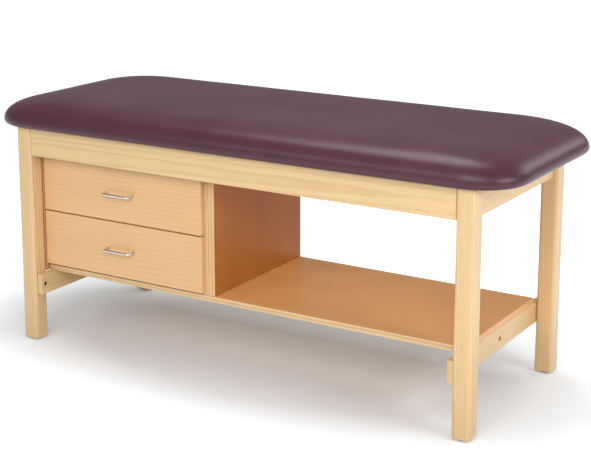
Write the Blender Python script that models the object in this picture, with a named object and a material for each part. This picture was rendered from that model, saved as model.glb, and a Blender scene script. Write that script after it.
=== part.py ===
"""Treatment table with drawers: a wooden frame, a padded top, a shelf and two drawers.

Metres, +Z up. +X runs along the table and the drawers face -Y. The origin is on the floor under the
middle of the table.
"""

import math

import bmesh
import bpy
from mathutils import Vector

# Frame
FRAME_LENGTH = 1.622
FRAME_DEPTH = 0.660
FRAME_HEIGHT = 0.722
LEG_WIDTH = 0.057
LEG_ROUND = 0.010
LEG_FOOT_CHAMFER = 0.002
GLIDE_RADIUS = 0.019
GLIDE_HEIGHT = 0.005
APRON_HEIGHT = 0.093
APRON_THICKNESS = 0.022
LONG_APRON_RECESS = 0.004
END_APRON_RECESS = 0.016
BLOCK_ARM = 0.060
BLOCK_TOP_DROP = 0.003

# Padded top
END_OVERHANG = 0.107
SIDE_OVERHANG = 0.0305
CUSHION_HEIGHT = 0.093
CUSHION_CORNER = 0.150
CUSHION_SHOULDER = 0.095
CUSHION_CROWN = 0.008
CUSHION_UNDER_ROUND = 0.018
CUSHION_UNDER_RISE = 0.016
BOARD_THICKNESS = 0.016
BOARD_INSET = 0.045

# Lower brace and shelf
STRETCHER_TOP = 0.228
STRETCHER_HEIGHT = 0.068
STRETCHER_THICKNESS = 0.019
STRETCHER_END_INSET = 0.010
RAIL_THICKNESS = 0.032
SHELF_THICKNESS = 0.019
SHELF_DEPTH = 0.510
DIVIDER_THICKNESS = 0.032
DRAWER_BAY = 0.634

# Bolts of the brace
BOLT_RADIUS = 0.004
BOLT_HEAD_RADIUS = 0.0070
BOLT_HEAD_HEIGHT = 0.005
BOLT_GRIP = 0.036
BOLT_SINK = 0.008

# Drawer case and drawers
CASE_PANEL = 0.012
CASE_BACK_PANEL = 0.006
FILLER_WIDTH = 0.020
FILLER_LAP = 0.020
CASE_RISE = 0.020
BLOCK_CASE_GAP = 0.010
FRONT_THICKNESS = 0.019
FRONT_SIDE_GAP = 0.002
FRONT_LEG_GAP = 0.004
FRONT_TOP_GAP = 0.008
FRONT_SHELF_GAP = 0.009
FRONT_SPLIT_GAP = 0.004
BOX_WALL = 0.012
BOX_BOTTOM = 0.006
BOX_BOTTOM_LIFT = 0.008
BOX_FRONT_MARGIN = 0.020
BOX_BACK_GAP = 0.030

# Drawer slides
SLIDE_SPACE = 0.0127
SLIDE_HEIGHT = 0.035
SLIDE_SHEET = 0.0015
SLIDE_SETBACK = 0.004
SLIDE_END_GAP = 0.012
SLIDE_LIP_GAP = 0.0012

# Pulls
PULL_CENTRES = 0.102
PULL_RADIUS = 0.0045
PULL_PROJECTION = 0.031
PULL_BEND = 0.011
SCREW_RADIUS = 0.002
SCREW_HEAD_RADIUS = 0.004
SCREW_HEAD_HEIGHT = 0.0025
SCREW_TIP_GAP = 0.0006

# Finish of edges, and gaps
EDGE_EASE = 0.0015
PANEL_EASE = 0.0006
GAP = 0.0003
HOLE_CLEARANCE = 0.0004
CORNER_STEPS = 6
TURN_STEPS = 20
UPPER_STEPS = 7
UNDER_STEPS = 4

# Places that follow from the sizes
LEG_INNER_X = FRAME_LENGTH / 2 - LEG_WIDTH
LEG_INNER_Y = FRAME_DEPTH / 2 - LEG_WIDTH
APRON_BOTTOM = FRAME_HEIGHT - APRON_HEIGHT
STRETCHER_MIDDLE = STRETCHER_TOP - STRETCHER_HEIGHT / 2
STRETCHER_INNER_X = LEG_INNER_X - GAP - STRETCHER_THICKNESS
SHELF_BOTTOM = STRETCHER_TOP + GAP
SHELF_TOP = SHELF_BOTTOM + SHELF_THICKNESS
SHELF_FRONT = -SHELF_DEPTH / 2
DIVIDER_LEFT = -LEG_INNER_X + DRAWER_BAY
CASE_LEFT = -LEG_INNER_X + GAP
CASE_RIGHT = DIVIDER_LEFT - GAP
CASE_TOP = APRON_BOTTOM + CASE_RISE
BAY_LEFT = CASE_LEFT + CASE_PANEL
BAY_RIGHT = CASE_RIGHT - CASE_PANEL
FRONT_BACK_FACE = SHELF_FRONT - GAP
FRONT_FACE = FRONT_BACK_FACE - FRONT_THICKNESS
FRONT_LEFT = -LEG_INNER_X + FRONT_LEG_GAP
FRONT_RIGHT = DIVIDER_LEFT - FRONT_SIDE_GAP
FRONT_MIDDLE = (FRONT_LEFT + FRONT_RIGHT) / 2
FRONTS_BOTTOM = SHELF_TOP + FRONT_SHELF_GAP
FRONTS_TOP = APRON_BOTTOM - FRONT_TOP_GAP
FRONT_HEIGHT = (FRONTS_TOP - FRONTS_BOTTOM - FRONT_SPLIT_GAP) / 2
CASE_BACK_FACE = SHELF_DEPTH / 2 - CASE_BACK_PANEL - GAP
BOX_FRONT = FRONT_BACK_FACE + GAP
BOX_BACK = CASE_BACK_FACE - BOX_BACK_GAP
BOX_LEFT = BAY_LEFT + SLIDE_SPACE
BOX_RIGHT = BAY_RIGHT - SLIDE_SPACE


def clear_scene():
    for thing in list(bpy.data.objects):
        bpy.data.objects.remove(thing, do_unlink=True)


def make_material(name, colour, roughness, metallic=0.0):
    made = bpy.data.materials.new(name)
    made.use_nodes = True
    shader = made.node_tree.nodes["Principled BSDF"]
    shader.inputs["Base Color"].default_value = (*colour, 1.0)
    shader.inputs["Roughness"].default_value = roughness
    shader.inputs["Metallic"].default_value = metallic
    return made


def add_object(name, data, finish, parent=None, place=(0.0, 0.0, 0.0)):
    """Links an object whose data is drawn about place, under its body's empty."""
    made = bpy.data.objects.new(name, data)
    bpy.context.collection.objects.link(made)
    base = Vector((0.0, 0.0, 0.0))
    if parent is not None:
        made.parent = parent
        base = parent.location
    made.location = Vector(place) - base
    if finish is not None:
        data.materials.append(finish)
    return made


def add_body(name, place):
    empty = bpy.data.objects.new(name, None)
    bpy.context.collection.objects.link(empty)
    empty.location = place
    return empty


def loft(name, rings, smooth_degrees=None):
    """A closed mesh through rings of equal length, with a flat cap on the first and the last."""
    model = bmesh.new()
    loops = []
    for ring in rings:
        loops.append([model.verts.new(point) for point in ring])
    count = len(rings[0])
    for lower, upper in zip(loops, loops[1:]):
        for i in range(count):
            j = (i + 1) % count
            model.faces.new((lower[i], lower[j], upper[j], upper[i]))
    model.faces.new(list(reversed(loops[0])))
    model.faces.new(loops[-1])
    bmesh.ops.recalc_face_normals(model, faces=model.faces)
    data = bpy.data.meshes.new(name)
    model.to_mesh(data)
    model.free()
    if smooth_degrees is not None:
        data.shade_smooth()
        data.set_sharp_from_angle(angle=math.radians(smooth_degrees))
    return data


def rounded_outline(half_x, half_y, radius, z):
    """A rectangle with round corners, seen from above."""
    corners = ((1, 1, 0.0), (-1, 1, 0.5), (-1, -1, 1.0), (1, -1, 1.5))
    points = []
    for side_x, side_y, start in corners:
        centre_x = side_x * (half_x - radius)
        centre_y = side_y * (half_y - radius)
        for step in range(CORNER_STEPS + 1):
            turn = math.pi * (start + 0.5 * step / CORNER_STEPS)
            points.append((centre_x + radius * math.cos(turn), centre_y + radius * math.sin(turn), z))
    return points


def board(name, low, high, finish, parent=None, ease=EDGE_EASE):
    """A square-sawn board between two corners, with its edges eased."""
    low = Vector(low)
    high = Vector(high)
    model = bmesh.new()
    bmesh.ops.create_cube(model, size=1.0)
    bmesh.ops.scale(model, vec=high - low, verts=model.verts)
    data = bpy.data.meshes.new(name)
    model.to_mesh(data)
    model.free()
    made = add_object(name, data, finish, parent, (low + high) / 2)
    easing = made.modifiers.new("Eased edges", "BEVEL")
    easing.width = ease
    easing.segments = 1
    return made


def turned(name, profile, start, direction, finish, parent=None):
    """A round piece: profile holds (distance along direction, radius) pairs."""
    along = Vector(direction).normalized()
    across = along.orthogonal().normalized()
    around = along.cross(across)
    rings = []
    for distance, radius in profile:
        ring = []
        for step in range(TURN_STEPS):
            turn = 2 * math.pi * step / TURN_STEPS
            ring.append(along * distance + (across * math.cos(turn) + around * math.sin(turn)) * radius)
        rings.append(ring)
    return add_object(name, loft(name, rings, 40), finish, parent, start)


def make_cutter(name, profile, start, direction, parent=None):
    cutter = turned(name, profile, start, direction, None, parent)
    cutter.hide_render = True
    cutter.display_type = "WIRE"
    return cutter


def bore(made, cutter):
    cut = made.modifiers.new("Bore", "BOOLEAN")
    cut.operation = "DIFFERENCE"
    cut.solver = "EXACT"
    cut.object = cutter


def corner_names():
    """Each corner of the frame: its name and the signs of its X and Y."""
    for end_name, side_x in (("left", -1), ("right", 1)):
        for side_name, side_y in (("front", -1), ("back", 1)):
            yield side_name + "_" + end_name, side_x, side_y


def build_leg(corner, side_x, side_y, wood, plastic):
    centre = (side_x * (FRAME_LENGTH - LEG_WIDTH) / 2, side_y * (FRAME_DEPTH - LEG_WIDTH) / 2, 0.0)
    half = LEG_WIDTH / 2
    foot_half = half - LEG_FOOT_CHAMFER
    foot = GLIDE_HEIGHT + GAP
    rings = [
        rounded_outline(foot_half, foot_half, LEG_ROUND - LEG_FOOT_CHAMFER, foot),
        rounded_outline(half, half, LEG_ROUND, foot + LEG_FOOT_CHAMFER),
        rounded_outline(half, half, LEG_ROUND, FRAME_HEIGHT),
    ]
    name = corner + "_leg"
    leg = add_object(name, loft(name, rings, 30), wood, None, centre)
    rim = GLIDE_HEIGHT / 4
    glide_profile = [(0.0, GLIDE_RADIUS - rim), (rim, GLIDE_RADIUS), (GLIDE_HEIGHT, GLIDE_RADIUS)]
    turned(corner + "_glide", glide_profile, centre, (0, 0, 1), plastic)
    return leg


def build_aprons(wood):
    long_half = LEG_INNER_X - GAP
    long_face = FRAME_DEPTH / 2 - LONG_APRON_RECESS
    end_half = LEG_INNER_Y - GAP
    end_face = FRAME_LENGTH / 2 - END_APRON_RECESS
    for name, side in (("front_apron", -1), ("back_apron", 1)):
        near, far = sorted((side * (long_face - APRON_THICKNESS), side * long_face))
        board(name, (-long_half, near, APRON_BOTTOM), (long_half, far, FRAME_HEIGHT), wood)
    for name, side in (("left_end_apron", -1), ("right_end_apron", 1)):
        near, far = sorted((side * (end_face - APRON_THICKNESS), side * end_face))
        board(name, (near, -end_half, APRON_BOTTOM), (far, end_half, FRAME_HEIGHT), wood)


def build_corner_block(corner, side_x, side_y, wood):
    """A glued block behind each leg, notched round the leg's inner edge."""
    leg_x = LEG_INNER_X - GAP
    leg_y = LEG_INNER_Y - GAP
    wall_x = FRAME_LENGTH / 2 - END_APRON_RECESS - APRON_THICKNESS - GAP
    wall_y = FRAME_DEPTH / 2 - LONG_APRON_RECESS - APRON_THICKNESS - GAP
    outline = [
        (leg_x, wall_y),
        (leg_x, leg_y),
        (wall_x, leg_y),
        (wall_x, leg_y - BLOCK_ARM),
        (leg_x - BLOCK_ARM, wall_y),
    ]
    bottom = CASE_TOP + BLOCK_CASE_GAP
    top = FRAME_HEIGHT - BLOCK_TOP_DROP
    rings = []
    for z in (bottom, top):
        rings.append([(side_x * x, side_y * y, z) for x, y in outline])
    name = corner + "_corner_block"
    add_object(name, loft(name, rings), wood)


def build_brace(legs, wood, steel):
    """End stretchers bolted to the legs' inner faces, and the long rail bolted between them."""
    half_y = FRAME_DEPTH / 2 - STRETCHER_END_INSET
    bolt_y = (FRAME_DEPTH - LEG_WIDTH) / 2
    bottom = STRETCHER_TOP - STRETCHER_HEIGHT
    rail_half = STRETCHER_INNER_X - GAP
    rail_low = (-rail_half, -RAIL_THICKNESS / 2, bottom)
    rail_high = (rail_half, RAIL_THICKNESS / 2, STRETCHER_TOP)
    rail = board("centre_rail", rail_low, rail_high, wood)
    hole_end = BOLT_SINK + STRETCHER_THICKNESS + BOLT_GRIP
    hole = [
        (-BOLT_SINK, BOLT_HEAD_RADIUS + HOLE_CLEARANCE),
        (BOLT_SINK, BOLT_HEAD_RADIUS + HOLE_CLEARANCE),
        (BOLT_SINK, BOLT_RADIUS + HOLE_CLEARANCE),
        (hole_end, BOLT_RADIUS + HOLE_CLEARANCE),
    ]
    seat = BOLT_SINK - GAP
    bolt = [
        (seat - BOLT_HEAD_HEIGHT, BOLT_HEAD_RADIUS * 0.9),
        (seat - BOLT_HEAD_HEIGHT * 0.8, BOLT_HEAD_RADIUS),
        (seat, BOLT_HEAD_RADIUS),
        (seat, BOLT_RADIUS),
        (hole_end - BOLT_SINK, BOLT_RADIUS),
    ]
    for end_name, side in (("left", -1), ("right", 1)):
        near, far = sorted((side * STRETCHER_INNER_X, side * (LEG_INNER_X - GAP)))
        low = (near, -half_y, bottom)
        high = (far, half_y, STRETCHER_TOP)
        stretcher = board(end_name + "_stretcher", low, high, wood)
        for side_name, side_y in (("front", -1), ("back", 1)):
            corner = side_name + "_" + end_name
            start = (side * STRETCHER_INNER_X, side_y * bolt_y, STRETCHER_MIDDLE)
            cutter = make_cutter(corner + "_bolt_hole", hole, start, (side, 0, 0))
            bore(stretcher, cutter)
            bore(legs[corner], cutter)
            turned(corner + "_stretcher_bolt", bolt, start, (side, 0, 0), steel)
        start = (side * (LEG_INNER_X - GAP), 0.0, STRETCHER_MIDDLE)
        cutter = make_cutter(end_name + "_rail_bolt_hole", hole, start, (-side, 0, 0))
        bore(stretcher, cutter)
        bore(rail, cutter)
        turned(end_name + "_rail_bolt", bolt, start, (-side, 0, 0), steel)


def build_top(plywood, vinyl):
    """The plywood board and, over and round it, the padded top."""
    half_x = FRAME_LENGTH / 2 + END_OVERHANG
    half_y = FRAME_DEPTH / 2 + SIDE_OVERHANG
    bottom = FRAME_HEIGHT + GAP

    def outline(inset, z):
        radius = max(CUSHION_CORNER - inset, CUSHION_CORNER * 0.1)
        return rounded_outline(half_x - inset, half_y - inset, radius, z)

    board_top = bottom + BOARD_THICKNESS
    board_rings = [outline(BOARD_INSET, bottom), outline(BOARD_INSET, board_top)]
    add_object("top_board", loft("top_board", board_rings, 30), plywood)

    pocket = BOARD_INSET - GAP
    widest = bottom + CUSHION_UNDER_RISE
    shoulder_top = bottom + CUSHION_HEIGHT - CUSHION_CROWN
    rings = [outline(pocket, board_top + GAP), outline(pocket, bottom)]
    for step in range(UNDER_STEPS):
        turn = 0.5 * math.pi * step / UNDER_STEPS
        inset = CUSHION_UNDER_ROUND * (1 - math.sin(turn))
        rings.append(outline(inset, widest - CUSHION_UNDER_RISE * math.cos(turn)))
    for step in range(UPPER_STEPS):
        turn = 0.5 * math.pi * step / UPPER_STEPS
        inset = CUSHION_SHOULDER * (1 - math.cos(turn))
        rings.append(outline(inset, widest + (shoulder_top - widest) * math.sin(turn)))
    crown_reach = half_y - CUSHION_SHOULDER
    for share in (0.0, 0.2, 0.5, 0.85):
        rise = CUSHION_CROWN * (1 - (1 - share) ** 2)
        rings.append(outline(CUSHION_SHOULDER + crown_reach * share, shoulder_top + rise))
    add_object("cushion", loft("cushion", rings, 60), vinyl)


def build_shelf(wood):
    half_x = LEG_INNER_X - GAP
    back = SHELF_DEPTH / 2
    board("shelf", (-half_x, SHELF_FRONT, SHELF_BOTTOM), (half_x, back, SHELF_TOP), wood)
    low = (DIVIDER_LEFT, SHELF_FRONT, SHELF_TOP + GAP)
    high = (DIVIDER_LEFT + DIVIDER_THICKNESS, back, FRAME_HEIGHT)
    board("divider", low, high, wood)


def build_case(plywood, wood):
    """The case round the drawers, and the strip that closes the slot behind the front left leg."""
    floor = SHELF_TOP + GAP
    back = SHELF_DEPTH / 2
    ceiling = CASE_TOP - CASE_PANEL
    wall_top = ceiling - GAP
    board("case_left_side", (CASE_LEFT, SHELF_FRONT, floor), (BAY_LEFT, back, wall_top), plywood)
    board("case_right_side", (BAY_RIGHT, SHELF_FRONT, floor), (CASE_RIGHT, back, wall_top), plywood)
    board("case_top", (CASE_LEFT, SHELF_FRONT, ceiling), (CASE_RIGHT, back, CASE_TOP), plywood)
    low = (BAY_LEFT + GAP, CASE_BACK_FACE, floor)
    high = (BAY_RIGHT - GAP, CASE_BACK_FACE + CASE_BACK_PANEL, wall_top)
    board("case_back", low, high, plywood, None, PANEL_EASE)
    low = (CASE_LEFT - GAP - FILLER_WIDTH, -LEG_INNER_Y + GAP, SHELF_BOTTOM)
    high = (CASE_LEFT - GAP, SHELF_FRONT + FILLER_LAP, APRON_BOTTOM - GAP)
    board("case_filler_strip", low, high, wood)


def channel_outline(wall, side, middle):
    """A C section that opens towards the drawer, seen along Y."""
    back = wall + side * GAP
    web = back + side * SLIDE_SHEET
    lip = wall + side * (SLIDE_SPACE - SLIDE_LIP_GAP)
    half = SLIDE_HEIGHT / 2
    inner = half - SLIDE_SHEET
    heights = ((back, -half), (lip, -half), (lip, -inner), (web, -inner))
    outline = [(x, middle + z) for x, z in heights]
    for x, z in reversed(heights):
        outline.append((x, middle - z))
    return outline


def bar_outline(wall, side, middle):
    """The drawer's member, which runs inside the channel."""
    far = wall + side * (SLIDE_SHEET + 2 * GAP)
    near = wall + side * (SLIDE_SPACE - GAP)
    half = SLIDE_HEIGHT / 2 - SLIDE_SHEET - GAP
    return [
        (far, middle - half),
        (near, middle - half),
        (near, middle + half),
        (far, middle + half),
    ]


def extruded(name, outline, front, back, finish, parent=None):
    place = parent.location if parent is not None else Vector((0.0, 0.0, 0.0))
    rings = []
    for y in (front, back):
        rings.append([Vector((x, y, z)) - place for x, z in outline])
    return add_object(name, loft(name, rings), finish, parent, place)


def build_slides(drawer, level, middle, steel):
    front = SHELF_FRONT + SLIDE_SETBACK
    back = BOX_BACK - SLIDE_END_GAP
    for side_name, wall, side in (("left", BAY_LEFT, 1), ("right", BAY_RIGHT, -1)):
        case_name = level + "_" + side_name + "_case_slide"
        drawer_name = level + "_" + side_name + "_drawer_slide"
        extruded(case_name, channel_outline(wall, side, middle), front, back, steel)
        extruded(drawer_name, bar_outline(wall, side, middle), front, back, steel, drawer)


def build_pull(drawer, level, middle, holes_in, metal, steel):
    """A round bow pull and the two screws that hold it from inside the drawer."""
    foot = FRONT_FACE - GAP
    reach = FRONT_FACE - PULL_PROJECTION + PULL_RADIUS
    half = PULL_CENTRES / 2
    path = [(-half, foot)]
    for side, start in ((-1, math.pi), (1, 1.5 * math.pi)):
        for step in range(CORNER_STEPS + 1):
            turn = start + 0.5 * math.pi * step / CORNER_STEPS
            x = side * (half - PULL_BEND) + PULL_BEND * math.cos(turn)
            path.append((x, reach + PULL_BEND + PULL_BEND * math.sin(turn)))
    path.append((half, foot))
    name = level + "_pull"
    curve = bpy.data.curves.new(name, "CURVE")
    curve.dimensions = "3D"
    curve.bevel_depth = PULL_RADIUS
    curve.bevel_resolution = 3
    curve.use_fill_caps = True
    spline = curve.splines.new("POLY")
    spline.points.add(len(path) - 1)
    for point, (x, y) in zip(spline.points, path):
        point.co = (x, y - FRONT_FACE, 0.0, 1.0)
    add_object(name, curve, metal, drawer, (FRONT_MIDDLE, FRONT_FACE, middle))

    seat = BOX_FRONT + BOX_WALL + GAP
    length = seat - FRONT_FACE - SCREW_TIP_GAP
    screw = [
        (-SCREW_HEAD_HEIGHT, SCREW_HEAD_RADIUS * 0.6),
        (-SCREW_HEAD_HEIGHT * 0.4, SCREW_HEAD_RADIUS),
        (0.0, SCREW_HEAD_RADIUS),
        (0.0, SCREW_RADIUS),
        (length, SCREW_RADIUS),
    ]
    hole_radius = SCREW_RADIUS + HOLE_CLEARANCE
    hole = [(-BOX_WALL, hole_radius), (length + FRONT_THICKNESS, hole_radius)]
    for side_name, side in (("left", -1), ("right", 1)):
        start = (FRONT_MIDDLE + side * half, seat, middle)
        cutter = make_cutter(level + "_" + side_name + "_screw_hole", hole, start, (0, -1, 0), drawer)
        for made in holes_in:
            bore(made, cutter)
        turned(level + "_" + side_name + "_pull_screw", screw, start, (0, -1, 0), steel, drawer)


def build_drawer(level, bottom, veneer, plywood, metal, steel):
    """One drawer: its face, its box, its slides and its pull, all under the body that slides."""
    top = bottom + FRONT_HEIGHT
    middle = (bottom + top) / 2
    drawer = add_body(level + "_drawer", (FRONT_MIDDLE, FRONT_FACE, middle))
    low = (FRONT_LEFT, FRONT_FACE, bottom)
    high = (FRONT_RIGHT, FRONT_BACK_FACE, top)
    face = board(level + "_drawer_front", low, high, veneer, drawer)
    box_low = bottom + BOX_FRONT_MARGIN
    box_high = top - BOX_FRONT_MARGIN
    inner_left = BOX_LEFT + BOX_WALL
    inner_right = BOX_RIGHT - BOX_WALL
    inner_front = BOX_FRONT + BOX_WALL
    inner_back = BOX_BACK - BOX_WALL
    name = level + "_drawer_inner_front"
    low = (inner_left + GAP, BOX_FRONT, box_low)
    high = (inner_right - GAP, inner_front, box_high)
    box_face = board(name, low, high, plywood, drawer, PANEL_EASE)
    low = (BOX_LEFT, BOX_FRONT, box_low)
    high = (inner_left, BOX_BACK, box_high)
    board(level + "_drawer_left_side", low, high, plywood, drawer, PANEL_EASE)
    low = (inner_right, BOX_FRONT, box_low)
    high = (BOX_RIGHT, BOX_BACK, box_high)
    board(level + "_drawer_right_side", low, high, plywood, drawer, PANEL_EASE)
    low = (inner_left + GAP, inner_back, box_low)
    high = (inner_right - GAP, BOX_BACK, box_high)
    board(level + "_drawer_back", low, high, plywood, drawer, PANEL_EASE)
    floor = box_low + BOX_BOTTOM_LIFT
    low = (inner_left + GAP, inner_front + GAP, floor)
    high = (inner_right - GAP, inner_back - GAP, floor + BOX_BOTTOM)
    board(level + "_drawer_bottom", low, high, plywood, drawer, PANEL_EASE)
    build_slides(drawer, level, middle, steel)
    build_pull(drawer, level, middle, (face, box_face), metal, steel)


def main():
    clear_scene()
    wood = make_material("solid_wood", (0.70, 0.50, 0.28), 0.38)
    veneer = make_material("drawer_veneer", (0.66, 0.43, 0.21), 0.40)
    shelf_wood = make_material("shelf_veneer", (0.58, 0.36, 0.16), 0.42)
    plywood = make_material("plywood", (0.68, 0.52, 0.33), 0.60)
    vinyl = make_material("vinyl", (0.115, 0.060, 0.080), 0.36)
    nickel = make_material("satin_nickel", (0.72, 0.71, 0.69), 0.25, 1.0)
    steel = make_material("zinc_steel", (0.55, 0.56, 0.57), 0.38, 1.0)
    black_steel = make_material("black_steel", (0.045, 0.043, 0.042), 0.45, 1.0)
    plastic = make_material("glide_plastic", (0.05, 0.045, 0.04), 0.55)

    legs = {}
    for corner, side_x, side_y in corner_names():
        legs[corner] = build_leg(corner, side_x, side_y, wood, plastic)
        build_corner_block(corner, side_x, side_y, wood)
    build_aprons(wood)
    build_brace(legs, wood, black_steel)
    build_top(plywood, vinyl)
    build_shelf(shelf_wood)
    build_case(plywood, wood)
    build_drawer("lower", FRONTS_BOTTOM, veneer, plywood, nickel, steel)
    upper_bottom = FRONTS_BOTTOM + FRONT_HEIGHT + FRONT_SPLIT_GAP
    build_drawer("upper", upper_bottom, veneer, plywood, nickel, steel)


main()
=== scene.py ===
"""Looks of a treatment table with drawers: wood, vinyl, nickel pulls and small fastenings."""

import math
from typing import NamedTuple

import bmesh
import bpy
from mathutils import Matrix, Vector
from mathutils import noise


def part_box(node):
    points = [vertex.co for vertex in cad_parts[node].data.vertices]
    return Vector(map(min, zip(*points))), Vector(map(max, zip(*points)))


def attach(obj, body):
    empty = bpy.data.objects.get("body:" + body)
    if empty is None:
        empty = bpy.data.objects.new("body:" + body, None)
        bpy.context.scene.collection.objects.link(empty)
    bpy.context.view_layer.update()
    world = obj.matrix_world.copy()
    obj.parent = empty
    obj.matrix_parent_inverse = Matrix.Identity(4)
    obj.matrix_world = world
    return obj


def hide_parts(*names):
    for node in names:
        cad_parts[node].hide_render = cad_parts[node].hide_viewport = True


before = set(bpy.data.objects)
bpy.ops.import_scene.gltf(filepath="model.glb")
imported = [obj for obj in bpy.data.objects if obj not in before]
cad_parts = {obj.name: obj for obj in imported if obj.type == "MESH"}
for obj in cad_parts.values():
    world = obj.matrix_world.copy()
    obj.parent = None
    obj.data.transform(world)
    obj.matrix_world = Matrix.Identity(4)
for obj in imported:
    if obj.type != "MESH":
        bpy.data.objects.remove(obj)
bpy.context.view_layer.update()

bl_info = {
    "name": "Treatment Table Finish",
    "version": (1, 0, 0),
    "blender": (4, 5, 0),
    "location": "View3D > Sidebar > Table",
    "description": "Dresses a packed treatment table with wood, vinyl and nickel",
    "category": "Object",
}

CORNERS = ("front_left", "front_right", "back_left", "back_right")
LEVELS = ("lower", "upper")
SIDES = ("left", "right")

# The photograph's frame and the camera that was fitted to it
PHOTO_WIDTH = 591
FOCAL_PIXELS = 1410.0
SHIFT_PIXELS = -100.0
CAMERA_PLACE = (2.3027, -3.6648, 1.6319)
CAMERA_TURN = math.radians(31.60)
CAMERA_PITCH = math.radians(11.89)
CAMERA_FAR = 200.0
SENSOR_WIDTH = 36.0

# The padded top: the solid's plan, with fuller sides and more sloping ends than the solid has
CUSHION_CORNER = 0.150
CUSHION_UNDER_ROUND = 0.018
CUSHION_UNDER_RISE = 0.016
CUSHION_FULLNESS = 8.5
CUSHION_END_SLOPE = 1.8
INNER_CORNER_SHARE = 0.3
INNER_CORNER_LEAST = 0.08
SEAT_GAP = 0.0003
CORNER_STEPS = 14
LONG_SIDE_STEPS = 60
END_STEPS = 18
UNDER_STEPS = 8
UPPER_STEPS = 40
CUSHION_LOW, CUSHION_HIGH = (Vector(corner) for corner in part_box("cushion"))
BOARD_HIGH = Vector(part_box("top_board")[1])

# The padding's unevenness: two noises by scale and share, and how far the whole sinks
RIPPLE_NOISES = ((7.0, 0.7), (19.0, 0.3))
RIPPLE_SINK = 0.6

# The vinyl: scales of its grain, creases and clouds, shares of its colour, and its sheen
VINYL_CELLS = 620.0
VINYL_CREASES = 260.0
VINYL_CLOUDS = 4.0
VINYL_DARK_SHARE = 0.86
VINYL_PALE_SHARE = 1.16
VINYL_VALLEY_SHARE = 0.80
VINYL_ROUGHNESS = (0.28, 0.40)
VINYL_SPECULAR = 0.31

# Wood patterns, stretched along and across the grain; a wave texture of scale one has this length
LOG_STRETCH = (0.12, 1.0, 1.0)
FIBRE_STRETCH = (7.0, 420.0, 420.0)
CLOUD_STRETCH = (2.0, 9.0, 9.0)
CLOUD_PLACE = 0.3
SIDE_TILT_SHARE = 0.6
WAVE_LENGTH = math.pi / 10
RING_WAVINESS = 1.8
RING_DETAIL = 2.0
RING_DETAIL_SCALE = 2.6
RING_DETAIL_ROUGHNESS = 0.5

# Pores are a share of the dark wood's colour, and clouds a warmer tint of the pale wood's
PORE_SHARE = 0.72
PORE_AMOUNT = 0.24
CLOUD_TINT = (1.10, 1.06, 1.00)
CLOUD_AMOUNT = 0.45
COAT_ROUGHNESS = 0.22
GRAIN_TURNS = {
    "X": (0.0, 0.0, 0.0),
    "Y": (0.0, 0.0, -math.pi / 2),
    "Z": (0.0, math.pi / 2, 0.0),
}

# A face whose normal has a lower Y than this is a front edge
FRONT_EDGE_LIMIT = -0.7

# Painted shade: the divider takes the shelf's veneer colours darkened by channel, for the shade it stands
# in under the top
DIVIDER_PAINTED_SHADE = (0.61, 0.43, 0.25)

# How far a roughness goes below and above its middle
WOOD_ROUGHNESS_SPREAD = (0.05, 0.10)
METAL_ROUGHNESS_SPREAD = (0.06, 0.10)

# Bumps by strength and height
WOOD_BUMP = (0.10, 0.0004)
VINYL_BUMP = (0.10, 0.0003)
METAL_BUMP = (0.04, 0.0002)
PLASTIC_BUMP = (0.10, 0.0002)

# Metals by colour, roughness and the stretch of their polishing lines
ZINC_PLATE = ((0.56, 0.57, 0.58), 0.34, (900.0, 40.0, 900.0))
FASTENING_ZINC = ((0.58, 0.58, 0.57), 0.36, (700.0, 700.0, 700.0))
BLACK_OXIDE = ((0.045, 0.043, 0.042), 0.42, (600.0, 600.0, 600.0))
NICKEL_ROUGHNESS = 0.24
NICKEL_STRETCH = (40.0, 900.0, 900.0)
METAL_DARK_SHARE = 0.86

# The glides' plastic
PLASTIC_DARK = (0.022, 0.020, 0.018)
PLASTIC_PALE = (0.045, 0.041, 0.037)
PLASTIC_GRAIN = 900.0
PLASTIC_ROUGHNESS = 0.55

# The bow pulls
PULL_BEND = 0.011
PULL_BOW = 0.0008
PULL_FOOT_HEIGHT = 0.006
PULL_FOOT_FLARE = 0.30
PULL_FOOT_STEPS = 7
PULL_BEND_STEPS = 10
PULL_RUN_STEPS = 16
PULL_SIDES = 20
PULL_SHARP_ANGLE = math.radians(50)

# Staples under the ends of the padded top, and screw heads on the corner blocks
STAPLE_RADIUS = 0.0006
STAPLE_SIDES = 6
STAPLE_EDGE_SHARE = 0.72
STAPLE_REACH_SHARE = 0.86
STAPLE_DROP = 0.0001
HEAD_RADIUS = 0.0042
HEAD_LENGTH = 0.0016
HEAD_SIDES = 16
HEAD_SHARES = (0.30, 0.70)
HEAD_PROUD = 0.0004

# The floor, and its own glow, low where the shadow lies, with fades in half sizes of the shadow
FLOOR_REACH = 40.0
FLOOR_DROP = 0.0003
FLOOR_COLOUR = (0.77, 0.81, 0.85, 1.0)
FLOOR_ROUGHNESS = 0.9
SHADOW_HALF_LENGTH = 0.95
SHADOW_HALF_DEPTH = 0.50
FLOOR_STRETCH = (1 / SHADOW_HALF_LENGTH, 1 / SHADOW_HALF_DEPTH, 1.0)
FLOOR_FADE_NEAR = 0.75
FLOOR_FADE_FAR = 2.20
FLOOR_GLOW_NEAR = 0.06
FLOOR_GLOW_FAR = 0.85

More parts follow.
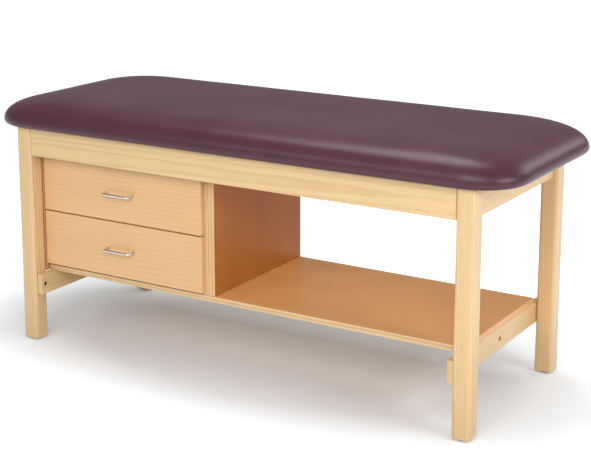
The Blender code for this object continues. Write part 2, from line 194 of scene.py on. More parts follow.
# Lamps by place, point looked at, width and height, and power
TABLE_MIDDLE = (0.0, 0.0, 0.5)
LAMPS = {
    "key_softbox": ((1.4, -3.4, 2.6), TABLE_MIDDLE, (3.0, 1.4), 74.0),
    "front_strip": ((-0.4, -3.2, 1.7), (0.0, 0.0, 0.75), (3.2, 0.4), 20.0),
    "top_softbox": ((-0.3, 0.2, 3.4), TABLE_MIDDLE, (2.4, 1.4), 58.0),
    "end_softbox": ((3.4, -0.6, 1.7), TABLE_MIDDLE, (1.6, 0.8), 40.0),
    "back_softbox": ((2.4, 3.2, 2.4), TABLE_MIDDLE, (2.4, 1.4), 26.0),
}
WORLD_COLOUR = (1.0, 0.99, 0.98, 1.0)
WORLD_STRENGTH = 0.28


class BoardCut(NamedTuple):
    """How a kind of board is cut from its log, and how it is varnished.

    The pith is the log's heart, across the grain from the first board, and moves on by its step.
    """

    pith: tuple
    ring_gap: float
    pith_step: tuple = (0.0, 0.0)
    tilt: float = 0.10
    contrast: float = 0.75
    roughness: float = 0.36
    specular: float = 0.5
    coat: float = 0.15


LEG_CUT = BoardCut((0.030, -0.018), 0.0066, (0.012, -0.010), tilt=0.16, contrast=0.66)
BLOCK_CUT = BoardCut((0.05, 0.0), 0.004, (0.0, 0.02))
APRON_CUT = BoardCut((0.034, 0.012), 0.0150, (0.0, -0.010), tilt=0.13, contrast=0.46)
END_APRON_CUT = BoardCut((0.040, 0.015), 0.0044, (0.0, -0.030), tilt=0.16)
STRETCHER_CUT = BoardCut((0.045, 0.02), 0.004, (0.0, 0.015), tilt=0.14)
RAIL_CUT = BoardCut((0.05, 0.01), 0.0045)
STRIP_CUT = BoardCut((0.05, 0.03), 0.0060)
SHELF_CUT = BoardCut((0.30, 0.06), 0.0110, tilt=0.05, contrast=0.85)
DIVIDER_CUT = BoardCut((0.30, 0.06), 0.0090, tilt=0.05, contrast=0.85, specular=0.15, coat=0.0)
CASE_CUT = BoardCut((0.20, 0.10), 0.006, (0.03, 0.0), tilt=0.06, contrast=0.35, roughness=0.5)
DRAWER_FRONT_CUT = BoardCut((0.05, 0.11), 0.0140, (0.0, 0.05), tilt=0.06, contrast=0.36)
DRAWER_BOX_CUT = BoardCut((0.20, 0.12), 0.006, (0.04, 0.05), tilt=0.05, contrast=0.32, roughness=0.5)

# Plywood boards and the way their grain runs
CASE_BOARDS = (
    ("top_board", "X"),
    ("case_top", "X"),
    ("case_back", "Z"),
    ("case_left_side", "Z"),
    ("case_right_side", "Z"),
)
DRAWER_BOARDS = (
    ("inner_front", "X"),
    ("back", "X"),
    ("bottom", "X"),
    ("left_side", "Y"),
    ("right_side", "Y"),
)


class TableSettings(bpy.types.PropertyGroup):
    """Sizes and colours of the table's finish."""

    wood_pale: bpy.props.FloatVectorProperty(
        name="Pale wood",
        description="Early growth of the solid wood",
        subtype="COLOR",
        size=3,
        min=0.0,
        max=1.0,
        default=(0.790, 0.555, 0.290),
    )
    wood_dark: bpy.props.FloatVectorProperty(
        name="Dark wood",
        description="Late growth lines of the solid wood",
        subtype="COLOR",
        size=3,
        min=0.0,
        max=1.0,
        default=(0.560, 0.305, 0.125),
    )
    veneer_pale: bpy.props.FloatVectorProperty(
        name="Pale veneer",
        description="Ground colour of the drawer fronts",
        subtype="COLOR",
        size=3,
        min=0.0,
        max=1.0,
        default=(0.780, 0.490, 0.245),
    )
    veneer_dark: bpy.props.FloatVectorProperty(
        name="Dark veneer",
        description="Lines of the drawer fronts",
        subtype="COLOR",
        size=3,
        min=0.0,
        max=1.0,
        default=(0.610, 0.340, 0.145),
    )
    shelf_pale: bpy.props.FloatVectorProperty(
        name="Pale shelf",
        description="Ground colour of the shelf and the divider",
        subtype="COLOR",
        size=3,
        min=0.0,
        max=1.0,
        default=(0.800, 0.430, 0.165),
    )
    shelf_dark: bpy.props.FloatVectorProperty(
        name="Dark shelf",
        description="Lines of the shelf and the divider",
        subtype="COLOR",
        size=3,
        min=0.0,
        max=1.0,
        default=(0.560, 0.270, 0.085),
    )
    vinyl: bpy.props.FloatVectorProperty(
        name="Vinyl",
        description="Colour of the padded top",
        subtype="COLOR",
        size=3,
        min=0.0,
        max=1.0,
        default=(0.079, 0.026, 0.040),
    )
    nickel: bpy.props.FloatVectorProperty(
        name="Nickel",
        description="Colour of the pulls",
        subtype="COLOR",
        size=3,
        min=0.0,
        max=1.0,
        default=(0.72, 0.71, 0.69),
    )
    vinyl_ripple: bpy.props.FloatProperty(
        name="Vinyl ripple",
        description="Height of the slow unevenness in the padding",
        unit="LENGTH",
        default=0.0006,
        min=0.0,
        max=0.003,
    )
    staple_pitch: bpy.props.FloatProperty(
        name="Staple pitch",
        description="Distance between staples under the ends of the top",
        unit="LENGTH",
        default=0.024,
        min=0.01,
        max=0.1,
    )
    staple_width: bpy.props.FloatProperty(
        name="Staple width",
        description="Crown of one staple",
        unit="LENGTH",
        default=0.010,
        min=0.004,
        max=0.02,
    )


def settings():
    return bpy.context.scene.table_settings


def centre_of(node):
    low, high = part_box(node)
    return (Vector(low) + Vector(high)) / 2


def tinted(colour, shares):
    """A colour with each channel times its own share."""
    return tuple(min(1.0, channel * share) for channel, share in zip(colour, shares))


def shaded(colour, share):
    return tinted(colour, (share, share, share))


def new_material(name):
    """A material with its tree and its shader."""
    made = bpy.data.materials.new(name)
    made.use_nodes = True
    tree = made.node_tree
    return made, tree, tree.nodes["Principled BSDF"]


def add_node(tree, kind, **values):
    node = tree.nodes.new(kind)
    for name, value in values.items():
        setattr(node, name, value)
    return node


def mix_colours(tree, factor, first, second):
    """A colour mix; each colour is a socket or a plain RGB triple."""
    node = add_node(tree, "ShaderNodeMix", data_type="RGBA")
    if isinstance(factor, float):
        node.inputs[0].default_value = factor
    else:
        tree.links.new(factor, node.inputs[0])
    for index, colour in ((6, first), (7, second)):
        if isinstance(colour, bpy.types.NodeSocket):
            tree.links.new(colour, node.inputs[index])
        else:
            node.inputs[index].default_value = (*colour, 1.0)
    return node.outputs[2]


def ramp(tree, source, stops):
    """Grey levels at positions along a 0 to 1 value."""
    node = add_node(tree, "ShaderNodeValToRGB")
    elements = node.color_ramp.elements
    while len(elements) < len(stops):
        elements.new(0.5)
    for element, (position, level) in zip(elements, stops):
        element.position = position
        element.color = (level, level, level, 1.0)
    tree.links.new(source, node.inputs["Fac"])
    return node.outputs["Color"]


def add_bump(tree, shader, height, strength, distance):
    node = add_node(tree, "ShaderNodeBump")
    node.inputs["Strength"].default_value = strength
    node.inputs["Distance"].default_value = distance
    tree.links.new(height, node.inputs["Height"])
    tree.links.new(node.outputs["Normal"], shader.inputs["Normal"])


def vary_roughness(tree, shader, source, low, high):
    """A roughness that follows a pattern from low to high."""
    node = add_node(tree, "ShaderNodeMapRange")
    node.inputs["To Min"].default_value = low
    node.inputs["To Max"].default_value = high
    tree.links.new(source, node.inputs["Value"])
    tree.links.new(node.outputs["Result"], shader.inputs["Roughness"])


def centred_coordinates(tree, centre):
    coordinates = add_node(tree, "ShaderNodeTexCoord")
    shift = add_node(tree, "ShaderNodeVectorMath", operation="SUBTRACT")
    shift.inputs[1].default_value = centre
    tree.links.new(coordinates.outputs["Object"], shift.inputs[0])
    return shift.outputs[0]


def mapped(tree, source, place=(0, 0, 0), turn=(0, 0, 0), stretch=(1, 1, 1)):
    node = add_node(tree, "ShaderNodeMapping")
    node.inputs["Location"].default_value = place
    node.inputs["Rotation"].default_value = turn
    node.inputs["Scale"].default_value = stretch
    tree.links.new(source, node.inputs["Vector"])
    return node.outputs["Vector"]


def noise_value(tree, source, scale, detail=3.0, roughness=0.55):
    node = add_node(tree, "ShaderNodeTexNoise")
    node.inputs["Scale"].default_value = scale
    node.inputs["Detail"].default_value = detail
    node.inputs["Roughness"].default_value = roughness
    tree.links.new(source, node.inputs["Vector"])
    return node.outputs["Fac"]


def front_edge_mask(tree):
    """One on the faces that look to the front, zero on the others."""
    coordinates = add_node(tree, "ShaderNodeTexCoord")
    parts = add_node(tree, "ShaderNodeSeparateXYZ")
    tree.links.new(coordinates.outputs["Normal"], parts.inputs[0])
    facing = add_node(tree, "ShaderNodeMath", operation="LESS_THAN")
    facing.inputs[1].default_value = FRONT_EDGE_LIMIT
    tree.links.new(parts.outputs["Y"], facing.inputs[0])
    return facing.outputs[0]


def growth_lines(tree, along, pith, cut):
    """Late growth in the log's rings, up to the cut's contrast."""
    turn = (0.0, cut.tilt, cut.tilt * SIDE_TILT_SHARE)
    log = mapped(tree, along, place=(0.0, *pith), turn=turn, stretch=LOG_STRETCH)
    rings = add_node(tree, "ShaderNodeTexWave", wave_type="RINGS", rings_direction="X", wave_profile="SAW")
    rings.inputs["Scale"].default_value = WAVE_LENGTH / cut.ring_gap
    rings.inputs["Distortion"].default_value = RING_WAVINESS
    rings.inputs["Detail"].default_value = RING_DETAIL
    rings.inputs["Detail Scale"].default_value = RING_DETAIL_SCALE
    rings.inputs["Detail Roughness"].default_value = RING_DETAIL_ROUGHNESS
    tree.links.new(log, rings.inputs["Vector"])
    return ramp(tree, rings.outputs["Fac"], ((0.0, 0.0), (0.45, 0.10), (0.86, cut.contrast), (1.0, 0.15)))


def wood_material(name, node, grain, colours, pith, cut, edge):
    """Clear-coated wood cut from a log whose heart lies at pith, across the grain from the piece.

    Where edge gives a pale and a dark colour, the front edge is banded with that wood.
    """
    made, tree, shader = new_material(name)
    pale, dark = colours
    along = mapped(tree, centred_coordinates(tree, centre_of(node)), turn=GRAIN_TURNS[grain])
    growth = growth_lines(tree, along, pith, cut)
    fibre_place = mapped(tree, along, place=(*pith, 0.0), stretch=FIBRE_STRETCH)
    fibres = noise_value(tree, fibre_place, 1.0, 4.0, 0.62)
    pores = ramp(tree, fibres, ((0.0, 1.0), (0.38, 0.55), (0.50, 0.0), (1.0, 0.0)))
    cloud_place = mapped(tree, along, place=(*pith, CLOUD_PLACE), stretch=CLOUD_STRETCH)
    clouds = noise_value(tree, cloud_place, 1.0, 2.0)
    ground = mix_colours(tree, growth, pale, dark)
    pore_amount = ramp(tree, pores, ((0.0, 0.0), (1.0, PORE_AMOUNT)))
    flecked = mix_colours(tree, pore_amount, ground, shaded(dark, PORE_SHARE))
    cloud_amount = ramp(tree, clouds, ((0.30, 0.0), (0.72, CLOUD_AMOUNT)))
    colour = mix_colours(tree, cloud_amount, flecked, tinted(pale, CLOUD_TINT))
    if edge is not None:
        banding = mix_colours(tree, growth, *edge)
        colour = mix_colours(tree, front_edge_mask(tree), colour, banding)
    tree.links.new(colour, shader.inputs["Base Color"])
    below, above = WOOD_ROUGHNESS_SPREAD
    vary_roughness(tree, shader, fibres, cut.roughness - below, cut.roughness + above)
    shader.inputs["Specular IOR Level"].default_value = cut.specular
    shader.inputs["Coat Weight"].default_value = cut.coat
    shader.inputs["Coat Roughness"].default_value = COAT_ROUGHNESS
    add_bump(tree, shader, fibres, *WOOD_BUMP)
    return made


def vinyl_material(colour):
    """Upholstery vinyl with a fine pressed grain."""
    made, tree, shader = new_material("plum_vinyl")
    place = centred_coordinates(tree, centre_of("cushion"))
    cells = add_node(tree, "ShaderNodeTexVoronoi", feature="SMOOTH_F1")
    cells.inputs["Scale"].default_value = VINYL_CELLS
    tree.links.new(place, cells.inputs["Vector"])
    creases = noise_value(tree, place, VINYL_CREASES)
    clouds = noise_value(tree, place, VINYL_CLOUDS)
    cloud_amount = ramp(tree, clouds, ((0.3, 0.0), (0.7, 1.0)))
    dark = shaded(colour, VINYL_DARK_SHARE)
    toned = mix_colours(tree, cloud_amount, dark, shaded(colour, VINYL_PALE_SHARE))
    valley_amount = ramp(tree, cells.outputs["Distance"], ((0.35, 0.0), (0.8, 0.35)))
    grained = mix_colours(tree, valley_amount, toned, shaded(colour, VINYL_VALLEY_SHARE))
    tree.links.new(grained, shader.inputs["Base Color"])
    vary_roughness(tree, shader, creases, *VINYL_ROUGHNESS)
    shader.inputs["Specular IOR Level"].default_value = VINYL_SPECULAR
    height = mix_colours(tree, 0.5, cells.outputs["Distance"], creases)
    add_bump(tree, shader, height, *VINYL_BUMP)
    return made


def metal_material(name, colour, roughness, stretch):
    """Plated metal with faint polishing lines along its shortest stretch."""
    made, tree, shader = new_material(name)
    coordinates = add_node(tree, "ShaderNodeTexCoord")
    lines_place = mapped(tree, coordinates.outputs["Object"], stretch=stretch)
    lines = noise_value(tree, lines_place, 1.0, 3.0, 0.6)
    dark = shaded(colour, METAL_DARK_SHARE)
    tree.links.new(mix_colours(tree, lines, dark, colour), shader.inputs["Base Color"])
    below, above = METAL_ROUGHNESS_SPREAD
    vary_roughness(tree, shader, lines, roughness - below, roughness + above)
    shader.inputs["Metallic"].default_value = 1.0
    add_bump(tree, shader, lines, *METAL_BUMP)
    return made


def plastic_material():
    made, tree, shader = new_material("glide_plastic_dark")
    coordinates = add_node(tree, "ShaderNodeTexCoord")
    grain = noise_value(tree, coordinates.outputs["Object"], PLASTIC_GRAIN)
    tree.links.new(mix_colours(tree, grain, PLASTIC_DARK, PLASTIC_PALE), shader.inputs["Base Color"])
    shader.inputs["Roughness"].default_value = PLASTIC_ROUGHNESS
    add_bump(tree, shader, grain, *PLASTIC_BUMP)
    return made


def dress(node, material):
    """Gives a CAD piece its finish."""
    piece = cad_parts[node]
    piece.data.materials.clear()
    piece.data.materials.append(material)


def dress_wood(node, finish, grain, colours, cut, counts=(0, 0), edge=None):
    """Gives a CAD piece its wood, from a log that is moved on by counts of the cut's pith step."""
    pith = tuple(start + step * count for start, step, count in zip(cut.pith, cut.pith_step, counts))
    dress(node, wood_material(finish + "_" + node, node, grain, colours, pith, cut, edge))


def keep_piece(name, data, body, materials=()):
    """Links a finished mesh that lies in its place, and lets it ride on a body."""
    piece = bpy.data.objects.new(name, data)
    bpy.context.collection.objects.link(piece)
    for material in materials:
        data.materials.append(material)
    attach(piece, body)
    return piece


def lofted(name, rings):
    """A closed smooth mesh through rings of equal length."""
    model = bmesh.new()
    loops = [[model.verts.new(point) for point in ring] for ring in rings]
    count = len(rings[0])
    for lower, upper in zip(loops, loops[1:]):
        for i in range(count):
            j = (i + 1) % count
            model.faces.new((lower[i], lower[j], upper[j], upper[i]))
    model.faces.new(list(reversed(loops[0])))
    model.faces.new(loops[-1])
    bmesh.ops.recalc_face_normals(model, faces=model.faces)
    data = bpy.data.meshes.new(name)
    model.to_mesh(data)
    model.free()
    data.shade_smooth()
    return data


def cushion_outline(inset, z, radius, end_slope=1.0):
    """A round-cornered rectangle with evenly stepped sides, inset from the cushion's plan."""
    half_x = (CUSHION_HIGH.x - CUSHION_LOW.x) / 2 - inset * end_slope
    half_y = (CUSHION_HIGH.y - CUSHION_LOW.y) / 2 - inset
    corners = ((1, 1), (-1, 1), (-1, -1), (1, -1))
    points = []
    for index, (side_x, side_y) in enumerate(corners):
        middle = Vector((side_x * (half_x - radius), side_y * (half_y - radius), z))
        start = 0.5 * math.pi * index
        for step in range(CORNER_STEPS + 1):
            turn = start + 0.5 * math.pi * step / CORNER_STEPS
            points.append(middle + Vector((math.cos(turn), math.sin(turn), 0.0)) * radius)
        next_x, next_y = corners[(index + 1) % 4]
        arrive = Vector((next_x * (half_x - radius), next_y * (half_y - radius), z))
        turn = start + 0.5 * math.pi
        arrive += Vector((math.cos(turn), math.sin(turn), 0.0)) * radius
        leave = points[-1].copy()
        steps = LONG_SIDE_STEPS if index % 2 == 0 else END_STEPS
        for step in range(1, steps):
            points.append(leave.lerp(arrive, step / steps))
    return points


def cushion_mesh(ripple):
    """The padded top: vinyl drawn round a board, with one soft curve from its rim to its crown."""
    bottom = CUSHION_LOW.z
    widest = bottom + CUSHION_UNDER_RISE
    lift = CUSHION_HIGH.z - widest
    half_y = (CUSHION_HIGH.y - CUSHION_LOW.y) / 2
    pocket = CUSHION_HIGH.x - BOARD_HIGH.x - SEAT_GAP
    pocket_corner = CUSHION_CORNER - pocket
    rings = [
        cushion_outline(pocket, BOARD_HIGH.z + SEAT_GAP, pocket_corner),
        cushion_outline(pocket, bottom, pocket_corner),
    ]
    for step in range(UNDER_STEPS):
        turn = 0.5 * math.pi * step / UNDER_STEPS
        inset = CUSHION_UNDER_ROUND * (1 - math.sin(turn))
        z = widest - CUSHION_UNDER_RISE * math.cos(turn)
        rings.append(cushion_outline(inset, z, CUSHION_CORNER - inset))
    for step in range(UPPER_STEPS):
        share = (step / UPPER_STEPS) ** 2
        inset = half_y * share
        z = widest + lift * math.sqrt(1 - (1 - share) ** CUSHION_FULLNESS)
        radius = max(CUSHION_CORNER - INNER_CORNER_SHARE * inset, INNER_CORNER_LEAST)
        rings.append(cushion_outline(inset, z, min(radius, half_y - inset), CUSHION_END_SLOPE))
    data = lofted("padded_top", rings)
    for vertex in data.vertices:
        height = min(1.0, max(0.0, (vertex.co.z - widest) / lift))
        sway = sum(noise.noise(vertex.co * scale) * share for scale, share in RIPPLE_NOISES)
        vertex.co.z += ripple * height * (sway - RIPPLE_SINK)
    return data


class TABLE_OT_padded_top(bpy.types.Operator):
    """Make the vinyl-covered padded top"""

    bl_idname = "table.padded_top"
    bl_label = "Padded Top"

    def execute(self, context):
        options = settings()
        material = vinyl_material(tuple(options.vinyl))
        top = keep_piece("padded_top", cushion_mesh(options.vinyl_ripple), "table", (material,))
        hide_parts("cushion")
        return {"FINISHED"}


class TABLE_OT_frame_wood(bpy.types.Operator):
    """Give legs, aprons, blocks, stretchers, rail and filler strip their solid wood, the strip all in dark
    wood as painted shade
    """

    bl_idname = "table.frame_wood"
    bl_label = "Frame Wood"

    def execute(self, context):
        options = settings()
        colours = (tuple(options.wood_pale), tuple(options.wood_dark))
        for number, corner in enumerate(CORNERS):
            counts = (number, number)
            dress_wood(corner + "_leg", "ash", "Z", colours, LEG_CUT, counts)
            dress_wood(corner + "_corner_block", "ash", "X", colours, BLOCK_CUT, counts)
        for number, node in enumerate(("front_apron", "back_apron")):
            dress_wood(node, "ash", "X", colours, APRON_CUT, (number, number))
        for number, side in enumerate(SIDES):
            counts = (number, number)
            dress_wood(side + "_end_apron", "ash", "Y", colours, END_APRON_CUT, counts)
            dress_wood(side + "_stretcher", "ash", "Y", colours, STRETCHER_CUT, counts)
        dress_wood("centre_rail", "ash", "X", colours, RAIL_CUT)
        # Painted shade: the filler strip takes only the dark wood colour, for the shade in the narrow gap
        # between the front left leg and the drawers
        painted_shade_colours = (colours[1], colours[1])
        dress_wood("case_filler_strip", "ash", "Z", painted_shade_colours, STRIP_CUT)
        return {"FINISHED"}


class TABLE_OT_shelf_wood(bpy.types.Operator):
    """Give the shelf, the divider, the top board and the drawer case their veneer and plywood"""

    bl_idname = "table.shelf_wood"
    bl_label = "Shelf and Case Wood"

    def execute(self, context):
        options = settings()
        edge = (tuple(options.wood_pale), tuple(options.wood_dark))
        colours = (tuple(options.shelf_pale), tuple(options.shelf_dark))
        dress_wood("shelf", "veneer", "X", colours, SHELF_CUT, edge=edge)
        # Painted shade: the divider's colours are the shelf's, darkened by channel
        painted_shade_colours = tuple(tinted(colour, DIVIDER_PAINTED_SHADE) for colour in colours)
        dress_wood("divider", "veneer", "Z", painted_shade_colours, DIVIDER_CUT, edge=edge)
        plain_colours = (edge[0], colours[1])
        for number, (node, grain) in enumerate(CASE_BOARDS):
            dress_wood(node, "plywood", grain, plain_colours, CASE_CUT, (number, number))
        return {"FINISHED"}


class TABLE_OT_drawer_wood(bpy.types.Operator):
    """Give the drawer fronts their level veneer and the boxes their plywood"""

    bl_idname = "table.drawer_wood"
    bl_label = "Drawer Wood"

    def execute(self, context):
        options = settings()
        colours = (tuple(options.veneer_pale), tuple(options.veneer_dark))
        plain_colours = (tuple(options.wood_pale), colours[1])
        for number, level in enumerate(LEVELS):
            drawer = level + "_drawer_"
            dress_wood(drawer + "front", "veneer", "X", colours, DRAWER_FRONT_CUT, (number, number))
            for order, (board, grain) in enumerate(DRAWER_BOARDS):
                dress_wood(drawer + board, "plywood", grain, plain_colours, DRAWER_BOX_CUT, (order, number))
        return {"FINISHED"}


class TABLE_OT_hardware(bpy.types.Operator):
    """Give bolts, slides, screws and glides their plated steel and plastic"""

    bl_idname = "table.hardware"
    bl_label = "Hardware"

    def execute(self, context):
        zinc = metal_material("zinc_plate", *ZINC_PLATE)
        black = metal_material("black_oxide", *BLACK_OXIDE)
        plastic = plastic_material()
        for corner in CORNERS:
            dress(corner + "_glide", plastic)
            dress(corner + "_stretcher_bolt", black)
        for side in SIDES:
            dress(side + "_rail_bolt", black)
            for level in LEVELS:
                for ending in ("_case_slide", "_drawer_slide", "_pull_screw"):
                    dress(level + "_" + side + ending, zinc)
        return {"FINISHED"}


def pull_path(half, foot, reach):
    """Places along one pull, seen from above, from its left foot round two bends to its right foot."""
    path = []
    for step in range(PULL_FOOT_STEPS):
        path.append((-half, foot + (reach + PULL_BEND - foot) * step / PULL_FOOT_STEPS))
    for step in range(PULL_BEND_STEPS + 1):
        turn = math.pi + 0.5 * math.pi * step / PULL_BEND_STEPS
        x = -half + PULL_BEND + PULL_BEND * math.cos(turn)
        y = reach + PULL_BEND + PULL_BEND * math.sin(turn)
        path.append((x, y))
    right_end = [(-x, y) for x, y in reversed(path)]
    run = half - PULL_BEND
    for step in range(1, PULL_RUN_STEPS):
        path.append((-run + 2 * run * step / PULL_RUN_STEPS, reach))
    return path + right_end


def pull_mesh(level):
    """A round bow pull, a little thicker at its feet."""
    low, high = (Vector(corner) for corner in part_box(level + "_pull"))
    middle = (low + high) / 2
    radius = (high.z - low.z) / 2
    half = (high.x - low.x) / 2 - radius
    foot = high.y
    path = pull_path(half, foot, low.y + radius)
    up = Vector((0, 0, 1))
    rings = []
    for index, (x, y) in enumerate(path):
        before = path[max(index - 1, 0)]
        after = path[min(index + 1, len(path) - 1)]
        along = Vector((after[0] - before[0], after[1] - before[1], 0.0)).normalized()
        out = Vector((along.y, -along.x, 0.0))
        from_foot = min(1.0, (foot - y) / PULL_FOOT_HEIGHT)
        thick = radius * (1.0 + PULL_FOOT_FLARE * (1.0 - from_foot) ** 2)
        spot = Vector((middle.x + x, y + PULL_BOW * (1 - abs(x) / half), middle.z))
        ring = []
        for side in range(PULL_SIDES):
            turn = 2 * math.pi * side / PULL_SIDES
            ring.append(spot + (out * math.cos(turn) + up * math.sin(turn)) * thick)
        rings.append(ring)
    data = lofted(level + "_bow_pull", rings)
    data.set_sharp_from_angle(angle=PULL_SHARP_ANGLE)
    return data


class TABLE_OT_pulls(bpy.types.Operator):
    """Make the satin nickel bow pulls"""

    bl_idname = "table.pulls"
    bl_label = "Pulls"

    def execute(self, context):
        colour = tuple(settings().nickel)
        nickel = metal_material("satin_nickel_plate", colour, NICKEL_ROUGHNESS, NICKEL_STRETCH)
        for level in LEVELS:
            data = pull_mesh(level)
            pull = keep_piece(level + "_bow_pull", data, level + "_drawer", (nickel,))
            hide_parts(level + "_pull")
        return {"FINISHED"}


def new_tree(name, inputs):
    """A geometry tree with its named inputs, and its input and output nodes."""
    tree = bpy.data.node_groups.new(name, "GeometryNodeTree")
    tree.interface.new_socket("Geometry", in_out="INPUT", socket_type="NodeSocketGeometry")
    for label, kind in inputs:
        tree.interface.new_socket(label, in_out="INPUT", socket_type=kind)
    tree.interface.new_socket("Geometry", in_out="OUTPUT", socket_type="NodeSocketGeometry")
    return tree, tree.nodes.new("NodeGroupInput"), tree.nodes.new("NodeGroupOutput")


def fastening_tree(name):
    """Sets a short round bar or head on every point, turned to the point's own facing."""
    inputs = (
        ("Radius", "NodeSocketFloat"),
        ("Length", "NodeSocketFloat"),
        ("Sides", "NodeSocketInt"),
        ("Finish", "NodeSocketMaterial"),
    )
    tree, given, result = new_tree(name, inputs)
    bar = add_node(tree, "GeometryNodeMeshCylinder", fill_type="NGON")
    tree.links.new(given.outputs["Sides"], bar.inputs["Vertices"])
    tree.links.new(given.outputs["Radius"], bar.inputs["Radius"])
    tree.links.new(given.outputs["Length"], bar.inputs["Depth"])
    facing = add_node(tree, "GeometryNodeInputNamedAttribute", data_type="FLOAT_VECTOR")
    facing.inputs["Name"].default_value = "facing"
    turn = add_node(tree, "FunctionNodeAlignRotationToVector", axis="Z")
    tree.links.new(facing.outputs["Attribute"], turn.inputs["Vector"])
    copies = add_node(tree, "GeometryNodeInstanceOnPoints")
    tree.links.new(given.outputs["Geometry"], copies.inputs["Points"])
    tree.links.new(bar.outputs["Mesh"], copies.inputs["Instance"])
    tree.links.new(turn.outputs["Rotation"], copies.inputs["Rotation"])
    real = add_node(tree, "GeometryNodeRealizeInstances")
    tree.links.new(copies.outputs["Instances"], real.inputs["Geometry"])
    finish = add_node(tree, "GeometryNodeSetMaterial")
    tree.links.new(real.outputs["Geometry"], finish.inputs["Geometry"])
    tree.links.new(given.outputs["Finish"], finish.inputs["Material"])
    tree.links.new(finish.outputs["Geometry"], result.inputs["Geometry"])
    return tree


def fastened_mesh(name, tree, spots, values):
    """A plain mesh of the tree's copies on spots, each a place and a facing."""
    points = bpy.data.meshes.new(name + "_points")
    points.from_pydata([place for place, _ in spots], [], [])
    facing = points.attributes.new("facing", "FLOAT_VECTOR", "POINT")
    for item, (_, direction) in zip(facing.data, spots):
        item.vector = direction
    carrier = bpy.data.objects.new(name + "_points", points)
    bpy.context.collection.objects.link(carrier)
    modifier = carrier.modifiers.new("Fastenings", "NODES")
    modifier.node_group = tree
    for item in tree.interface.items_tree:
        if item.in_out == "INPUT" and item.name in values:
            modifier[item.identifier] = values[item.name]
    evaluated = carrier.evaluated_get(bpy.context.evaluated_depsgraph_get())
    data = bpy.data.meshes.new_from_object(evaluated)
    data.name = name
    bpy.data.objects.remove(carrier, do_unlink=True)
    return data


def staple_spots(pitch):
    """Two rows under the overhanging ends of the padded top."""
    edge = (CUSHION_HIGH.x - BOARD_HIGH.x) * STAPLE_EDGE_SHARE
    reach = BOARD_HIGH.y * STAPLE_REACH_SHARE
    count = int(2 * reach / pitch)
    spots = []
    for side in (-1, 1):
        for step in range(count + 1):
            x = side * (CUSHION_HIGH.x - edge)
            y = -reach + 2 * reach * step / count
            spots.append((Vector((x, y, CUSHION_LOW.z - STAPLE_DROP)), Vector((0, 1, 0))))
    return spots


def block_screw_spots():
    """Two heads on the slanting face of each corner block."""
    spots = []
    for corner in CORNERS:
        low, high = (Vector(point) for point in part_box(corner + "_corner_block"))
        middle = (low + high) / 2
        side_x = math.copysign(1.0, middle.x)
        side_y = math.copysign(1.0, middle.y)
        start = Vector((low.x if side_x > 0 else high.x, high.y if side_y > 0 else low.y, 0.0))
        end = Vector((high.x if side_x > 0 else low.x, low.y if side_y > 0 else high.y, 0.0))
        face = end - start
        outward = Vector((-side_x * abs(face.y), -side_y * abs(face.x), 0.0)).normalized()
        for share in HEAD_SHARES:
            place = start.lerp(end, share) + outward * HEAD_PROUD
            place.z = middle.z
            spots.append((place, outward))
    return spots


class TABLE_OT_fastenings(bpy.types.Operator):
    """Set the staples under the top and the screw heads on the corner blocks"""

    bl_idname = "table.fastenings"
    bl_label = "Fastenings"

    def execute(self, context):
        options = settings()
        zinc = metal_material("fastening_zinc", *FASTENING_ZINC)
        tree = fastening_tree("Fastening Rows")
        staples = {
            "Radius": STAPLE_RADIUS,
            "Length": options.staple_width,
            "Sides": STAPLE_SIDES,
            "Finish": zinc,
        }
        data = fastened_mesh("top_staples", tree, staple_spots(options.staple_pitch), staples)
        keep_piece("top_staples", data, "table")
        heads = {"Radius": HEAD_RADIUS, "Length": HEAD_LENGTH, "Sides": HEAD_SIDES, "Finish": zinc}
        data = fastened_mesh("block_screw_heads", tree, block_screw_spots(), heads)
        keep_piece("block_screw_heads", data, "table")
        return {"FINISHED"}


def backdrop_material():
    """A pale floor that shows white to the camera and to reflections, and keeps the table's shadow."""
    made, tree, shader = new_material("studio_floor")
    shader.inputs["Base Color"].default_value = FLOOR_COLOUR
    shader.inputs["Roughness"].default_value = FLOOR_ROUGHNESS
    shader.inputs["Specular IOR Level"].default_value = 0.0
    path = add_node(tree, "ShaderNodeLightPath")
    seen = add_node(tree, "ShaderNodeMath", operation="MAXIMUM")
    tree.links.new(path.outputs["Is Camera Ray"], seen.inputs[0])
    tree.links.new(path.outputs["Is Glossy Ray"], seen.inputs[1])
    through = add_node(tree, "ShaderNodeMath", operation="MAXIMUM")
    tree.links.new(seen.outputs[0], through.inputs[0])
    tree.links.new(path.outputs["Is Transmission Ray"], through.inputs[1])
    coordinates = add_node(tree, "ShaderNodeTexCoord")
    distance = add_node(tree, "ShaderNodeVectorMath", operation="LENGTH")
    tree.links.new(mapped(tree, coordinates.outputs["Object"], stretch=FLOOR_STRETCH), distance.inputs[0])
    fading = add_node(tree, "ShaderNodeMapRange")
    fading.inputs["From Min"].default_value = FLOOR_FADE_NEAR
    fading.inputs["From Max"].default_value = FLOOR_FADE_FAR
    fading.inputs["To Min"].default_value = FLOOR_GLOW_NEAR
    fading.inputs["To Max"].default_value = FLOOR_GLOW_FAR
    tree.links.new(distance.outputs["Value"], fading.inputs["Value"])
    level = add_node(tree, "ShaderNodeMath", operation="MULTIPLY")
    tree.links.new(fading.outputs["Result"], level.inputs[1])
    tree.links.new(through.outputs[0], level.inputs[0])
    shader.inputs["Emission Color"].default_value = (1.0, 1.0, 1.0, 1.0)
    tree.links.new(level.outputs[0], shader.inputs["Emission Strength"])
    return made


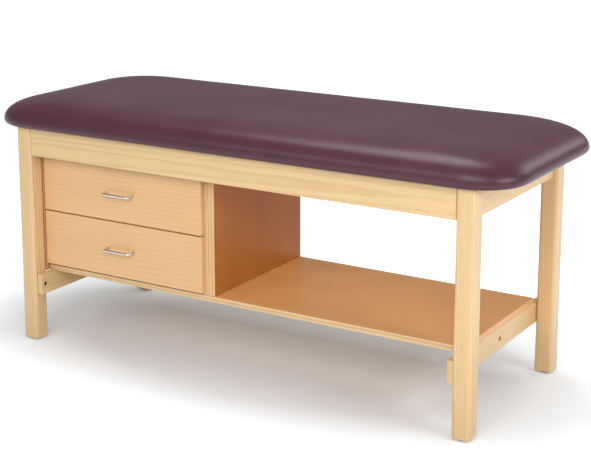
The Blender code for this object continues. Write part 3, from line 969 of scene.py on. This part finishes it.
def make_floor():
    """A wide floor just below the glides."""
    data = bpy.data.meshes.new("studio_floor")
    corners = [
        (-FLOOR_REACH, -FLOOR_REACH, -FLOOR_DROP),
        (FLOOR_REACH, -FLOOR_REACH, -FLOOR_DROP),
        (FLOOR_REACH, FLOOR_REACH, -FLOOR_DROP),
        (-FLOOR_REACH, FLOOR_REACH, -FLOOR_DROP),
    ]
    data.from_pydata(corners, [], [(0, 1, 2, 3)])
    data.materials.append(backdrop_material())
    floor = bpy.data.objects.new("studio_floor", data)
    bpy.context.collection.objects.link(floor)


def make_world(scene):
    """An even, nearly white surround."""
    world = bpy.data.worlds.new("studio_world")
    world.use_nodes = True
    background = world.node_tree.nodes["Background"]
    background.inputs["Color"].default_value = WORLD_COLOUR
    background.inputs["Strength"].default_value = WORLD_STRENGTH
    scene.world = world


def area_lamp(name, place, target, size, power):
    lamp = bpy.data.lights.new(name, "AREA")
    lamp.shape = "RECTANGLE"
    lamp.size = size[0]
    lamp.size_y = size[1]
    lamp.energy = power
    thing = bpy.data.objects.new(name, lamp)
    bpy.context.collection.objects.link(thing)
    thing.location = place
    thing.rotation_euler = (Vector(target) - Vector(place)).to_track_quat("-Z", "Y").to_euler()


def make_camera(scene):
    """The camera that was fitted to the photograph."""
    lens = bpy.data.cameras.new("photo_camera")
    lens.sensor_fit = "HORIZONTAL"
    lens.sensor_width = SENSOR_WIDTH
    lens.lens = FOCAL_PIXELS / PHOTO_WIDTH * SENSOR_WIDTH
    lens.shift_y = SHIFT_PIXELS / PHOTO_WIDTH
    lens.clip_end = CAMERA_FAR
    camera = bpy.data.objects.new("photo_camera", lens)
    bpy.context.collection.objects.link(camera)
    camera.location = CAMERA_PLACE
    camera.rotation_euler = (math.pi / 2 - CAMERA_PITCH, 0.0, CAMERA_TURN)
    scene.camera = camera


class TABLE_OT_stage(bpy.types.Operator):
    """Set the floor, the studio light and the camera"""

    bl_idname = "table.stage"
    bl_label = "Stage"

    def execute(self, context):
        make_floor()
        make_world(context.scene)
        for name, values in LAMPS.items():
            area_lamp(name, *values)
        make_camera(context.scene)
        context.scene.view_settings.view_transform = "Standard"
        return {"FINISHED"}


OPERATORS = (
    TABLE_OT_padded_top,
    TABLE_OT_frame_wood,
    TABLE_OT_shelf_wood,
    TABLE_OT_drawer_wood,
    TABLE_OT_hardware,
    TABLE_OT_pulls,
    TABLE_OT_fastenings,
    TABLE_OT_stage,
)


class TABLE_PT_finish(bpy.types.Panel):
    """Lists the finish settings and the pieces"""

    bl_label = "Treatment Table"
    bl_idname = "TABLE_PT_finish"
    bl_space_type = "VIEW_3D"
    bl_region_type = "UI"
    bl_category = "Table"

    def draw(self, context):
        options = context.scene.table_settings
        for name in TableSettings.__annotations__:
            self.layout.prop(options, name)
        for operator in OPERATORS:
            self.layout.operator(operator.bl_idname)


CLASSES = (TableSettings, *OPERATORS, TABLE_PT_finish)


def register():
    for item in CLASSES:
        bpy.utils.register_class(item)
    bpy.types.Scene.table_settings = bpy.props.PointerProperty(type=TableSettings)


def unregister():
    del bpy.types.Scene.table_settings
    for item in reversed(CLASSES):
        bpy.utils.unregister_class(item)


def main():
    register()
    bpy.ops.table.padded_top()
    bpy.ops.table.frame_wood()
    bpy.ops.table.shelf_wood()
    bpy.ops.table.drawer_wood()
    bpy.ops.table.hardware()
    bpy.ops.table.pulls()
    bpy.ops.table.fastenings()
    bpy.ops.table.stage()


if __name__ == "__main__":
    main()
